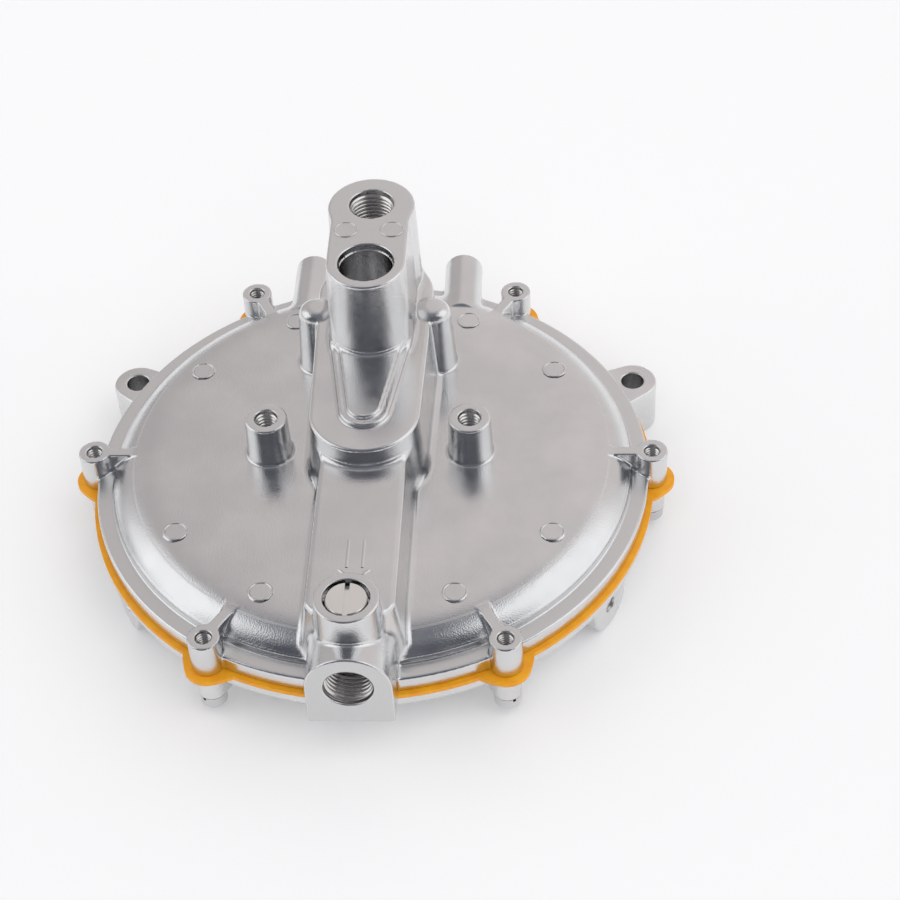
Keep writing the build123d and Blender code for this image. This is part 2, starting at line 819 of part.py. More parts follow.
def dished_plate(outer_r, face_z, lip_way):
    """Pressed disc on a face of the diaphragm, its edge turned away from the rubber."""
    middle = face_z + lip_way * plate_thick / 2
    with BuildPart() as disc:
        with BuildSketch(Plane.XZ):
            with BuildLine():
                FilletPolyline(
                    (post_r + post_clearance, middle),
                    (outer_r, middle),
                    (outer_r + plate_lip / 2, middle + lip_way * plate_lip),
                    radius=plate_bend_r,
                )
            trace(line_width=plate_thick)
        revolve(axis=Axis.Z)
    return disc


rubber_top_z = centre_mid_z + diaphragm_thick / 2
rubber_under_z = centre_mid_z - diaphragm_thick / 2
upper_plate = dished_plate(upper_plate_r, rubber_top_z, 1)
save(upper_plate, "upper_plate")
lower_plate = dished_plate(lower_plate_r, rubber_under_z, -1)
save(lower_plate, "lower_plate")

post_seat_z = rubber_top_z + plate_thick
washer_top_z = rubber_under_z - plate_thick
rivet_z = washer_top_z - post_washer_thick
post_end_z = rivet_z - rivet_head_thick
with BuildPart() as diaphragm_post:
    with BuildSketch(Plane.XY.offset(post_end_z)):
        Circle(post_r)
    extrude(amount=lever_under_z - post_gap_to_lever - post_end_z)
    fillet(diaphragm_post.edges().group_by(Axis.Z)[-1], post_tip_round)
    with BuildSketch(Plane.XY.offset(post_seat_z)):
        Circle(post_flange_r)
    extrude(amount=post_flange_thick)
    with BuildSketch(Plane.XY.offset(rivet_z)):
        Circle(rivet_head_r)
    extrude(amount=-rivet_head_thick)
    fillet(diaphragm_post.edges().group_by(Axis.Z)[0], rivet_head_round)
save(diaphragm_post, "diaphragm_post")

with BuildPart() as post_washer:
    with BuildSketch(Plane.XY.offset(rivet_z)):
        Circle(post_washer_r)
        Circle(post_r + post_clearance, mode=Mode.SUBTRACT)
    extrude(amount=post_washer_thick)
save(post_washer, "post_washer")


# Cover: bowl with a foot ring, screw lugs, two ears, two side bosses and the primer's turret

primer_head_top_z = primer_floor_gap + primer_head_height
pocket_roof_z = primer_head_top_z + primer_travel + primer_stop_gap
turret_top_z = pocket_roof_z + primer_plate
pocket_r = primer_head_r + primer_pocket_clearance
floor_z = foot_height + cover_floor
with BuildPart() as cover:
    with BuildSketch(Plane.XZ):
        with BuildLine():
            flange_under_z = cover_height - flange_thick
            Polyline(
                (0, cover_height),
                (flange_r, cover_height),
                (flange_r, flange_under_z),
                (cover_wall_top_r, flange_under_z),
                (cover_wall_base_r, cover_corner_r),
            )
            RadiusArc(
                (cover_wall_base_r, cover_corner_r),
                (cover_wall_base_r - cover_corner_r, 0),
                cover_corner_r,
            )
            Polyline(
                (cover_wall_base_r - cover_corner_r, 0),
                (foot_inner_r, 0),
                (foot_inner_r - foot_height, foot_height),
                (0, foot_height),
                (0, cover_height),
            )
        make_face()
    revolve(axis=Axis.Z)

    # Screw lugs under the flange, and the ears with their webs
    with BuildSketch(Plane.XY.offset(cover_height - cover_lug_drop)):
        with PolarLocations(screw_pitch_r, screw_count):
            Circle(cover_lug_r)
        with PolarLocations((screw_pitch_r + chamber_r) / 2, screw_count):
            Rectangle(screw_pitch_r - chamber_r, 2 * cover_lug_r)
    extrude(amount=cover_lug_drop)
    for angle in ear_angles:
        with BuildSketch(Plane.XY.offset(cover_height - ear_top_drop)):
            with Locations(polar(ear_pitch_r, angle)):
                Circle(ear_r)
            with Locations(polar(chamber_r, angle)):
                Circle(ear_root_r)
            make_hull()
        extrude(amount=-ear_height)

    # Side bosses
    for angle in side_boss_angles:
        with BuildSketch(outward_plane(side_boss_face_r, angle, side_boss_z)):
            Circle(side_boss_r)
        extrude(amount=cover_wall_base_r - cover_wall - side_boss_face_r)

    # Inside of the bowl, around the primer's turret
    with BuildSketch(Plane.XZ):
        with BuildLine():
            inner_base_r = cover_wall_base_r - cover_wall
            turret_r = pocket_r + primer_turret_wall
            Polyline(
                (inner_base_r - cover_corner_r, floor_z),
                (turret_r, floor_z),
                (turret_r, turret_top_z),
                (0, turret_top_z),
                (0, cover_height),
                (chamber_r, cover_height),
                (inner_base_r, floor_z + cover_corner_r),
            )
            RadiusArc(
                (inner_base_r, floor_z + cover_corner_r),
                (inner_base_r - cover_corner_r, floor_z),
                cover_corner_r,
            )
        make_face()
    revolve(axis=Axis.Z, mode=Mode.SUBTRACT)

    # Primer's pocket and stem bore, the vent and the screw and ear holes
    with BuildSketch(Plane.XY):
        Circle(pocket_r)
    extrude(amount=pocket_roof_z, mode=Mode.SUBTRACT)
    with BuildSketch(Plane.XY):
        Circle(primer_stem_r + primer_running_clearance)
    extrude(amount=turret_top_z, mode=Mode.SUBTRACT)
    with BuildSketch(Plane.XY):
        with Locations((0, vent_y)):
            Circle(vent_r)
    extrude(amount=floor_z, mode=Mode.SUBTRACT)
    with BuildSketch(Plane.XY.offset(cover_height)):
        with PolarLocations(screw_pitch_r, screw_count):
            Circle(screw_pass_r)
    extrude(amount=-cover_lug_drop, mode=Mode.SUBTRACT)
    with BuildSketch(Plane.XY.offset(cover_height - ear_top_drop)):
        with Locations(*[polar(ear_pitch_r, angle) for angle in ear_angles]):
            Circle(ear_hole_r)
    extrude(amount=-ear_height, mode=Mode.SUBTRACT)
    for angle in side_boss_angles:
        with BuildSketch(outward_plane(side_boss_face_r, angle, side_boss_z)):
            Circle(side_boss_thread_r)
        extrude(amount=-side_boss_thread_depth, mode=Mode.SUBTRACT)
save(cover, "cover")


# Cover screws and their spring washers

seat_z = cover_height - cover_lug_drop
head_top_z = seat_z - spring_washer_thick
with BuildPart() as cover_screws:
    with BuildSketch(Plane.XY.offset(head_top_z - head_height)):
        with PolarLocations(screw_pitch_r, screw_count):
            Circle(head_r)
    extrude(amount=head_height)
    fillet(cover_screws.edges().group_by(Axis.Z)[0], head_round)
    with BuildSketch(Plane.XY.offset(head_top_z)):
        with PolarLocations(screw_pitch_r, screw_count):
            Circle(thread_core_r)
    extrude(amount=lug_top_z - screw_gap_below_lug_top - head_top_z)
    with BuildSketch(Plane.XY.offset(head_top_z - head_height)):
        with PolarLocations(screw_pitch_r, screw_count):
            Rectangle(screw_recess_length, screw_recess_width)
            Rectangle(screw_recess_width, screw_recess_length)
    extrude(amount=screw_recess_depth, mode=Mode.SUBTRACT)
save(cover_screws, "cover_screws")

with BuildPart() as spring_washers:
    with BuildSketch(Plane.XY.offset(head_top_z)):
        with PolarLocations(screw_pitch_r, screw_count):
            Circle(spring_washer_r)
            Circle(thread_core_r + washer_hole_clearance, mode=Mode.SUBTRACT)
        with PolarLocations(screw_pitch_r + spring_washer_r / 2 + thread_core_r / 2, screw_count):
            Rectangle(spring_washer_r, washer_split, mode=Mode.SUBTRACT)
    extrude(amount=spring_washer_thick)
save(spring_washers, "spring_washers")


# Primer button, its clip and its spring

clip_z = turret_top_z + clip_clearance
stem_end_z = post_end_z - primer_travel - primer_stop_gap
with BuildPart() as primer_button:
    with BuildSketch(Plane.XY.offset(primer_floor_gap)):
        Circle(primer_head_r)
    extrude(amount=primer_head_height)
    fillet(primer_button.edges().group_by(Axis.Z)[0], primer_head_round)
    with BuildSketch(Plane.XY.offset(primer_head_top_z)):
        Circle(primer_well_r)
    extrude(amount=-primer_well_depth, mode=Mode.SUBTRACT)
    with BuildSketch(Plane.XY.offset(primer_floor_gap)):
        Circle(primer_stem_r)
    extrude(amount=stem_end_z - primer_floor_gap)
    with BuildSketch(Plane.XY.offset(clip_z)):
        Circle(primer_stem_r)
        Circle(primer_stem_r - clip_groove_depth, mode=Mode.SUBTRACT)
    extrude(amount=clip_thick, mode=Mode.SUBTRACT)
save(primer_button, "primer_button")

with BuildPart() as primer_clip:
    with BuildSketch(Plane.XY.offset(clip_z)):
        Circle(clip_r)
        Circle(primer_stem_r - clip_groove_depth + clip_clearance, mode=Mode.SUBTRACT)
        with Locations((clip_r, 0)):
            Rectangle(2 * clip_r, clip_mouth, mode=Mode.SUBTRACT)
    extrude(amount=clip_thick)
save(primer_clip, "primer_clip")

with BuildPart() as primer_spring:
    add(coil(0, 0, primer_coil_base_r, primer_coil_top_r, primer_wire_r, primer_turns,
             primer_head_top_z - primer_well_depth + spring_end_gap, pocket_roof_z - spring_end_gap))
save(primer_spring, "primer_spring")


# Flow screw over the outlet passage, with its seal

flow_head_top_z = flow_boss_z - flow_screw_recess
flow_shoulder_z = flow_head_top_z - flow_screw_head_height
flow_groove_z = flow_shoulder_z - flow_groove_drop
with BuildPart() as flow_screw:
    with BuildSketch(Plane.XY.offset(flow_shoulder_z)):
        with Locations((0, flow_boss_y)):
            Circle(flow_screw_head_r)
    extrude(amount=flow_screw_head_height)
    chamfer(flow_screw.edges().group_by(Axis.Z)[-1], flow_head_chamfer)
    with BuildSketch(Plane.XY.offset(flow_shoulder_z)):
        with Locations((0, flow_boss_y)):
            Circle(flow_body_r)
    extrude(amount=-flow_screw_length)
    with BuildSketch(Plane.XY.offset(flow_shoulder_z - flow_screw_length)):
        with Locations((0, flow_boss_y)):
            Circle(flow_tip_r)
    extrude(amount=-flow_tip_length, taper=flow_tip_taper)
    with BuildSketch(Plane.XY.offset(flow_groove_z)):
        with Locations((0, flow_boss_y)):
            Circle(flow_body_r)
            Circle(flow_body_r - flow_groove_depth, mode=Mode.SUBTRACT)
    extrude(amount=-flow_groove_width, mode=Mode.SUBTRACT)
    with BuildSketch(Plane.XY.offset(flow_head_top_z)):
        with Locations((0, flow_boss_y)):
            Rectangle(slot_width, 2 * flow_screw_head_r)
    extrude(amount=-slot_depth, mode=Mode.SUBTRACT)
save(flow_screw, "flow_screw")

ring_wire_r = (flow_groove_depth + flow_running_clearance) / 2 - flow_ring_ease
with BuildPart() as flow_screw_seal:
    with Locations((0, flow_boss_y, flow_groove_z - flow_groove_width / 2)):
        Torus(flow_body_r - flow_groove_depth + flow_ring_ease + ring_wire_r, ring_wire_r)
save(flow_screw_seal, "flow_screw_seal")
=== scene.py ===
"""Looks of the low pressure gas regulator: a polished die casting over a yellow diaphragm.

The castings are meshed here from signed distances in millimetres, with the fillets and soft edges of a casting.
Everything else is in metres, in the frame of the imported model.
"""

import json
from math import cos, pi, radians, sin, sqrt, tan

import bpy
import numpy as np
from mathutils import Matrix, Vector


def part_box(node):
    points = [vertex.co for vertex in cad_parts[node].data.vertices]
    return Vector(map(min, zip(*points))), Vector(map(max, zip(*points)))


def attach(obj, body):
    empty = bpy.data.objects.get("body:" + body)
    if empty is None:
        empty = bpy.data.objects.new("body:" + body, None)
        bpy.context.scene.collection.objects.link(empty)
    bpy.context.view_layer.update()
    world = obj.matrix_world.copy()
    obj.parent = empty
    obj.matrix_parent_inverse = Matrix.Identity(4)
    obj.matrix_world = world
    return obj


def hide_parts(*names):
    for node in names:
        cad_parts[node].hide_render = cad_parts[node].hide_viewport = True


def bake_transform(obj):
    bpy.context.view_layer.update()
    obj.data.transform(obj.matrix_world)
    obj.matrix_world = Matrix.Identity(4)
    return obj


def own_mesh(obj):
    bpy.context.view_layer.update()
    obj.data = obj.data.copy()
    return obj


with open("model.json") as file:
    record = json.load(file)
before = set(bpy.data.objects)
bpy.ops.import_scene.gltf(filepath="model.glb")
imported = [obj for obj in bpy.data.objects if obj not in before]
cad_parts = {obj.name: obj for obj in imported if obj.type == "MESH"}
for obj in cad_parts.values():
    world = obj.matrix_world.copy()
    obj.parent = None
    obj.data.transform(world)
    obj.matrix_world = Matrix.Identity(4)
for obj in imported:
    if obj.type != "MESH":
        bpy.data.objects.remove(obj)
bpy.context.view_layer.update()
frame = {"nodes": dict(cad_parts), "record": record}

MM = 0.001
mounts = {mount["name"]: mount for mount in frame["record"]["mounts"]}


def place(name):
    """A mount's point in millimetres."""
    return [value / MM for value in mounts[name]["pos_m"]]


def top(node):
    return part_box(node)[1].z / MM


# Heights in millimetres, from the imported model
joint_z = top("diaphragm")
cover_z = top("cover")
lug_top_z = joint_z + 10.5
plate_z = joint_z + 11.6
pad_z = plate_z + 18.7
channel_z = plate_z + 12.9
tower_z = place("inlet_port")[2]
inlet_y = place("inlet_port")[1]
spring_bore_y = place("spring_bore")[1]
port_face_y = place("outlet_port")[1]
outlet_z = place("outlet_port")[2]

# Housing casting
plate_wall = 3.0
crown_r = 52.0
crown_power = 4
crease_r = 69.2
crease_z = joint_z + 6.5
ledge_inner_r = 69.8
ledge_z = joint_z + 4.5
rim_r = 74.3
screw_pitch_r = 75.0
screw_angles = range(0, 360, 60)
lug_r = 4.2
lug_hole_r = 2.05
rib_half_width = 1.5
rib_inner_r = 63.0
pad_front = (-5.2, 15.6)
pad_back = (42.0, 16.9)
pad_draft = tan(radians(3.4))
tongue_tip = (-5.0, 6.6)
tongue_root = (20.0, 10.6)
tongue_rise = 1.3
tongue_inset = 2.1
tongue_top_rise = 2.3
tower_front = (25.0, 11.8)
tower_corner = (10.6, 0.286)
tower_back = (48.6, 13.1)
tower_draft = tan(radians(1.8))
channel_top_half = 11.2
channel_base_half = 13.0
channel_end_y = -70.5
channel_corner_cut = 4.0
port_back_y = -62.5
port_axis_z = joint_z + 11.8
port_arch_r = 10.8
port_foot_half = 10.9
port_foot_z = joint_z - 0.8
flow_y = -69.6
flow_boss_r = 8.1
flow_boss_z = joint_z + 30.9
flow_mouth_r = 5.8
flow_mouth_depth = 3.6
mount_boss = (26.9, -1.0, 6.0, 5.6, 12.4)
blind_boss = (15.9, 34.6, 6.0, 4.8, 20.4)
rear_boss_x = 22.0
rear_boss_r = 5.4
rear_boss_y = 80.2
rear_boss_z = joint_z + 6.5
marks = [(48.8, 30.5), (48.8, -30.5), (24.5, 51.1), (24.5, -51.1)]
tower_marks = [(6.15, 38.3), (-6.15, 38.3)]
mark_r = 2.95
mark_rise = 0.25
tower_mark_rise = 0.1

# Inside of the housing
chamber_r = 66.0
ceiling_r = 58.0
chamber_cove_rise = 3.5
room_front_r = 11.5
room_back_r = 9.0
nozzle_boss = (9.5, 8.5)
duct_half = 8.0
duct_end_y = -58.0
duct_base_z = plate_z - 5
joint_recess_r = 76.3

# Bores of the housing, each with its radius, its end and the rounding of its mouth
inlet_bores = ((5.95, tower_z - 14.0, 0.5), (4.6, tower_z - 19.0, 0.3), (3.0, pad_z - plate_wall - 9.0, 0.3))
spring_bores = ((7.35, tower_z - 1.9, 0.5), (7.0, tower_z - 17.0, 0.3), (6.05, pad_z - 5, 0.3))
outlet_bore = (6.15, 9.0, 0.5)
outlet_passage = (4.6, -56.0, 0.3)
flow_bores = ((flow_mouth_r, flow_boss_z - flow_mouth_depth, 0.2), (4.26, outlet_z, 0.2))
mount_hole = (2.98, 11.0)

# Cover casting
flange_r = 75.2
flange_z = cover_z - 3.0
cover_lug_z = cover_z - 8.7
cover_lug_r = 3.7
screw_pass_r = 2.2
wall_top_r = 69.0
wall_base_r = 64.0
wall_base_z = 5.0
foot_inner_r = 50.0
foot_height = 1.2
cover_floor_z = 3.7
cover_wall = 3.0
turret = (14.0, 7.2)
pocket = (11.0, 5.4)
ear_angles = (30, 150)
ear_root = (66.0, 9.0)
ear_end = (81.7, 6.7)
ear_hole_r = 3.1
ear_z = cover_z - 1.1
side_boss_angles = (-30, -150)
side_boss_z = 7.5
side_boss_r = 7.5
side_boss_face_r = 73.7
side_boss_hole = (2.1, 5.5)
primer_bore_r = 2.56
breather = (-30.0, 1.5)

# Inside threads: valley radius, crest radius, length and pitch
inlet_thread = (5.93, 5.3, 13.0, 1.2)
outlet_thread = (6.13, 5.5, 8.0, 1.2)
mount_thread = (2.96, 2.42, 9.6, 1.1)
lug_thread = (2.03, 1.62, 3.8, 0.8)
side_thread = (2.09, 1.7, 4.8, 0.8)


# Signed distances and how they join

def join(a, b, fillet):
    """Union of two solids with a fillet in the corner between them."""
    h = np.maximum(fillet - np.abs(a - b), 0) / fillet
    return np.minimum(a, b) - h * h * fillet / 4


def common(a, b, edge):
    """What two solids share, with a rounded edge."""
    return -join(-a, -b, edge)


def cut(a, b, edge):
    return common(a, -b, edge)


def disc(x, y, cx, cy, r):
    return np.sqrt((x - cx) ** 2 + (y - cy) ** 2) - r


def tapered_slot(x, y, first, second):
    """Hull of two circles on the Y axis, each given as (y, radius)."""
    length = second[0] - first[0]
    lean = (first[1] - second[1]) / length
    run = sqrt(1 - lean * lean)
    px = np.abs(x)
    py = y - first[0]
    along = py * run - px * lean
    side = px * run + py * lean - first[1]
    low = np.sqrt(px * px + py * py) - first[1]
    high = np.sqrt(px * px + (py - length) ** 2) - second[1]
    return np.where(along < 0, low, np.where(along > run * length, high, side))


def spoke(x, y, angle):
    """Coordinates along and across a radius of the body."""
    c, s = cos(radians(angle)), sin(radians(angle))
    return x * c + y * s, y * c - x * s


def housing(x, y, z):
    r = np.sqrt(x * x + y * y)

    # Dome, step under it and rim
    out = np.clip((r - crown_r) / (crease_r - crown_r), 0, 1.1)
    fall = (plate_z - crease_z) * out ** crown_power
    slope = fall * crown_power / np.maximum(r - crown_r, 0.01)
    dome = (z - plate_z + fall) / np.sqrt(1 + slope * slope)
    step_wall = r - (crease_r + (crease_z - z) * (ledge_inner_r - crease_r) / (crease_z - ledge_z))
    dome = common(dome, crease_z - 0.4 - z, 0.2)
    body = join(dome, common(step_wall * 0.96, z - crease_z, 0.5), 0.4)
    body = join(body, common(r - rim_r, z - ledge_z, 0.9), 0.5)

    # Lugs with their ribs
    for angle in screw_angles:
        along, side = spoke(x, y, angle)
        column = disc(along, side, screw_pitch_r, 0, lug_r)
        rib = common(np.abs(side) - rib_half_width, rib_inner_r - along, 0.5)
        rib = common(rib, along - screw_pitch_r, 0.5)
        lug = common(join(column, rib, 1.0), z - lug_top_z, 0.35)
        body = join(body, lug, 0.8)

    # Bosses over the rear rim
    for cx in (-rear_boss_x, rear_boss_x):
        rod = common(disc(x, z, cx, rear_boss_z, rear_boss_r), y - rear_boss_y, 0.8)
        body = join(body, common(rod, ceiling_r - y, 0.5), 1.6)
    body = common(body, joint_z - z, 0.3)

    # Channel and port block
    half = channel_base_half + (plate_z - plate_wall / 2 - z) * (channel_base_half - channel_top_half) / (
        channel_z - plate_z + plate_wall / 2)
    channel = common(np.abs(x) - half, z - channel_z, 1.3)
    corner = (np.abs(x) - half + channel_end_y - y + channel_corner_cut) * 0.71
    channel = common(channel, np.maximum(channel_end_y - y, y - pad_front[0]), 1.2)
    channel = common(channel, corner, 1.2)
    body = join(body, np.maximum(channel, crease_z - z), 1.5)
    foot_half = port_foot_half + (z - port_foot_z) * (port_arch_r - port_foot_half) / (port_axis_z - port_foot_z)
    arch = np.where(z > port_axis_z, disc(x, z, 0, port_axis_z, port_arch_r), np.abs(x) - foot_half)
    port = common(arch, port_foot_z - z, 1.0)
    port = common(port, port_face_y - y, 0.6)
    port = common(port, y - port_back_y, 1.0)
    body = join(body, port, 1.0)
    neck = common(disc(x, y, 0, flow_y, flow_boss_r), z - flow_boss_z, 0.6)
    body = join(body, np.maximum(neck, outlet_z - z), 1.0)

    # Pad, tongue and tower
    draft = (z - plate_z) * pad_draft
    pad = common(tapered_slot(x, y, pad_front, pad_back) + draft, z - pad_z, 1.0)
    body = join(body, np.maximum(pad, plate_z - plate_wall - z), 2.0)
    outline = tapered_slot(x, y, tongue_tip, tongue_root)
    tongue = common(outline, z - pad_z - tongue_rise, 0.7)
    body = join(body, np.maximum(tongue, pad_z - 2 - z), 0.8)
    tongue = common(outline + tongue_inset, z - pad_z - tongue_top_rise, 0.6)
    body = join(body, np.maximum(tongue, pad_z - 2 - z), 0.6)
    draft = (z - plate_z) * tower_draft
    column = join(tapered_slot(x, y, tower_front, (tower_back[0], tower_front[1])),
                  disc(x, y, 0, tower_back[0], tower_back[1]), 0.8)
    front = tower_front[0] - (tower_z - z) * tower_corner[1]
    shoulder = np.maximum(np.abs(x) - tower_corner[0], y - tower_back[0])
    column = join(column, common(shoulder, front - y, 1.5), 2.0)
    tower = common(column + draft, z - tower_z, 0.7)
    body = join(body, np.maximum(tower, plate_z - plate_wall - z), 1.5)

    # Bosses and ejector marks
    for bx, by, base_r, top_r, rise, edge in (mount_boss + (0.7,), blind_boss + (3.4,)):
        radius = base_r + (top_r - base_r) * (z - plate_z) / rise
        round_boss = np.sqrt((np.abs(x) - bx) ** 2 + (y - by) ** 2) - radius
        round_boss = common(round_boss, z - plate_z - rise, edge)
        body = join(body, np.maximum(round_boss, plate_z - plate_wall - z), 1.0)
    for mx, my in marks:
        mark = common(np.sqrt((np.abs(x) - mx) ** 2 + (y - my) ** 2) - mark_r, z - plate_z - mark_rise, 0.3)
        body = join(body, np.maximum(mark, plate_z - plate_wall - z), 0.3)
    for mx, my in tower_marks:
        mark = common(disc(x, y, mx, my, mark_r), z - tower_z - tower_mark_rise, 0.2)
        body = join(body, np.maximum(mark, tower_z - plate_wall - z), 0.2)

    # Inside: chamber, lever's room and channel
    cove_slope = (ceiling_r - chamber_r) / (plate_z - plate_wall - joint_z - chamber_cove_rise)
    wall = np.maximum(r - chamber_r, (r - chamber_r - (z - joint_z - chamber_cove_rise) * cove_slope) * 0.7)
    body = cut(body, np.maximum(np.maximum(wall, z - plate_z + plate_wall), joint_z - 5 - z), 0.4)
    room = tapered_slot(x, y, (pad_front[0], room_front_r), (inlet_y, room_back_r))
    room = np.maximum(room, z - pad_z + plate_wall)
    hanging_boss = np.maximum(disc(x, y, 0, inlet_y, nozzle_boss[0]), pad_z - plate_wall - nozzle_boss[1] - z)
    room = np.maximum(room, -hanging_boss)
    body = cut(body, np.maximum(room, duct_base_z - z), 0.4)
    duct = np.maximum(np.abs(x) - duct_half, np.maximum(duct_end_y - y, y - pad_front[0]))
    body = cut(body, np.maximum(np.maximum(duct, z - channel_z + plate_wall), duct_base_z - z), 0.4)
    edge_room = np.maximum(np.maximum(r - joint_recess_r, z - joint_z), port_foot_z - 1 - z)
    body = cut(body, edge_room, 0.2)

    # Bores
    for bores, bore_y in ((inlet_bores, inlet_y), (spring_bores, spring_bore_y)):
        for radius, floor_z, edge in bores:
            body = cut(body, np.maximum(disc(x, y, 0, bore_y, radius), floor_z - z), edge)
    radius, depth, edge = outlet_bore
    body = cut(body, np.maximum(disc(x, z, 0, outlet_z, radius), y - port_face_y - depth), edge)
    radius, end_y, edge = outlet_passage
    body = cut(body, np.maximum(disc(x, z, 0, outlet_z, radius), y - end_y), edge)
    for radius, floor_z, edge in flow_bores:
        body = cut(body, np.maximum(disc(x, y, 0, flow_y, radius), floor_z - z), edge)
    hole = np.sqrt((np.abs(x) - mount_boss[0]) ** 2 + (y - mount_boss[1]) ** 2) - mount_hole[0]
    body = cut(body, np.maximum(hole, plate_z + mount_boss[4] - mount_hole[1] - z), 0.4)
    for angle in screw_angles:
        along, side = spoke(x, y, angle)
        body = cut(body, disc(along, side, screw_pitch_r, 0, lug_hole_r), 0.4)
    return body


def cover(x, y, z):
    r = np.sqrt(x * x + y * y)

    # Bowl and flange
    lean = (wall_top_r - wall_base_r) / (flange_z - wall_base_z)
    wall = (r - wall_base_r - (z - wall_base_z) * lean) / sqrt(1 + lean * lean)
    body = common(common(wall, -z, 6.0), z - flange_z - 1, 0.2)
    flange = common(common(r - flange_r, z - cover_z, 0.5), flange_z - z, 0.5)
    body = join(body, flange, 1.2)

    # Screw lugs, ears and side bosses
    for angle in screw_angles:
        along, side = spoke(x, y, angle)
        column = np.sqrt(np.maximum(along - screw_pitch_r, 0) ** 2 + side * side) - cover_lug_r
        lug = common(np.maximum(column, ear_root[0] - 4 - along), cover_lug_z - z, 0.4)
        body = join(body, np.maximum(lug, z - cover_z), 1.2)
    for angle in ear_angles:
        along, side = spoke(x, y, angle)
        ear = common(tapered_slot(side, along, ear_root, ear_end), z - ear_z, 0.7)
        body = join(body, common(ear, -z, 0.7), 1.5)
    for angle in side_boss_angles:
        along, side = spoke(x, y, angle)
        rod = common(disc(side, z, 0, side_boss_z, side_boss_r), along - side_boss_face_r, 0.7)
        body = join(body, np.maximum(rod, wall_base_r - cover_wall - along), 1.2)
    body = common(body, z - cover_z, 0.3)
    body = cut(body, np.maximum((r - foot_inner_r + z) * 0.71, z - foot_height), 0.3)

    # Inside of the bowl around the primer's turret, and the holes
    inner = (r - wall_base_r + cover_wall - (z - wall_base_z - cover_floor_z) * lean) / sqrt(1 + lean * lean)
    inner = common(inner, cover_floor_z - z, 5.0)
    inner = np.maximum(inner, -common(r - turret[0], z - turret[1], 0.5))
    body = cut(body, inner, 0.4)
    body = cut(body, np.maximum(r - pocket[0], z - pocket[1]), 0.4)
    body = cut(body, r - primer_bore_r, 0.2)
    body = cut(body, np.maximum(disc(x, y, 0, *breather), z - cover_floor_z - 1), 0.3)
    for angle in screw_angles:
        along, side = spoke(x, y, angle)
        body = cut(body, disc(along, side, screw_pitch_r, 0, screw_pass_r), 0.3)
    for angle in ear_angles:
        along, side = spoke(x, y, angle)
        body = cut(body, disc(along, side, ear_end[0], 0, ear_hole_r), 0.5)
    for angle in side_boss_angles:
        along, side = spoke(x, y, angle)
        hole = disc(side, z, 0, side_boss_z, side_boss_hole[0])
        body = cut(body, np.maximum(hole, side_boss_face_r - side_boss_hole[1] - along), 0.4)
    return body


# Meshing of a signed distance

BLOCK = 24
CORNERS = [(i, j, k) for i in (0, 1) for j in (0, 1) for k in (0, 1)]
EDGES = [(a, b) for a in CORNERS for b in CORNERS if sum(b) - sum(a) == 1 and all(q >= p for p, q in zip(a, b))]


def sample(distance, low, high, step):
    """Distances at the nodes of a grid; blocks far from the surface take the value at their middle."""
    axes = [np.arange(a, b + step, step) for a, b in zip(low, high)]
    shape = [len(axis) for axis in axes]
    values = np.empty(shape, np.float32)
    reach = BLOCK * step * sqrt(3) / 2 + 2 * step
    starts = [range(0, n, BLOCK) for n in shape]
    middle = [np.array([axis[min(s + BLOCK // 2, len(axis) - 1)] for s in start])
              for axis, start in zip(axes, starts)]
    coarse = distance(middle[0][:, None, None], middle[1][None, :, None], middle[2][None, None, :])
    for a, i in enumerate(starts[0]):
        for b, j in enumerate(starts[1]):
            for c, k in enumerate(starts[2]):
                window = (slice(i, i + BLOCK), slice(j, j + BLOCK), slice(k, k + BLOCK))
                if abs(coarse[a, b, c]) > reach:
                    values[window] = coarse[a, b, c]
                else:
                    values[window] = distance(axes[0][window[0], None, None], axes[1][None, window[1], None],
                                              axes[2][None, None, window[2]])
    return values


def net(values, low, step):
    """Vertices and quads of the zero surface, one vertex in each cell that it crosses."""
    inside = values < 0
    count = np.zeros([n - 1 for n in values.shape], np.uint8)
    for i, j, k in CORNERS:
        count += inside[i:i + count.shape[0], j:j + count.shape[1], k:k + count.shape[2]]
    crossed = (count > 0) & (count < 8)
    index = np.full(count.shape, -1, np.int32)
    cells = np.argwhere(crossed)
    index[crossed] = np.arange(len(cells), dtype=np.int32)
    total = np.zeros((len(cells), 3))
    hits = np.zeros(len(cells))
    corner_value = {c: values[cells[:, 0] + c[0], cells[:, 1] + c[1], cells[:, 2] + c[2]] for c in CORNERS}
    for a, b in EDGES:
        va, vb = corner_value[a], corner_value[b]
        hit = (va < 0) != (vb < 0)
        t = np.where(hit, va / np.where(hit, va - vb, 1), 0)
        total += np.where(hit[:, None], np.array(a) + t[:, None] * (np.array(b) - np.array(a)), 0)
        hits += hit
    points = np.array(low) + step * (cells + total / hits[:, None])
    quads = []
    for axis in range(3):
        u, v = (axis + 1) % 3, (axis + 2) % 3
        window_a = [slice(1, -1)] * 3
        window_b = [slice(1, -1)] * 3
        window_a[axis] = slice(0, -1)
        window_b[axis] = slice(1, None)
        first, second = inside[tuple(window_a)], inside[tuple(window_b)]
        nodes = np.argwhere(first != second)
        outward = first[tuple(nodes.T)]
        nodes[:, u] += 1
        nodes[:, v] += 1
        ring = []
        for du, dv in ((-1, -1), (0, -1), (0, 0), (-1, 0)):
            cell = nodes.copy()
            cell[:, u] += du
            cell[:, v] += dv
            ring.append(index[tuple(cell.T)])
        ring = np.stack(ring, 1)
        quads.append(np.where(outward[:, None], ring, ring[:, ::-1]))
    return points, np.concatenate(quads)


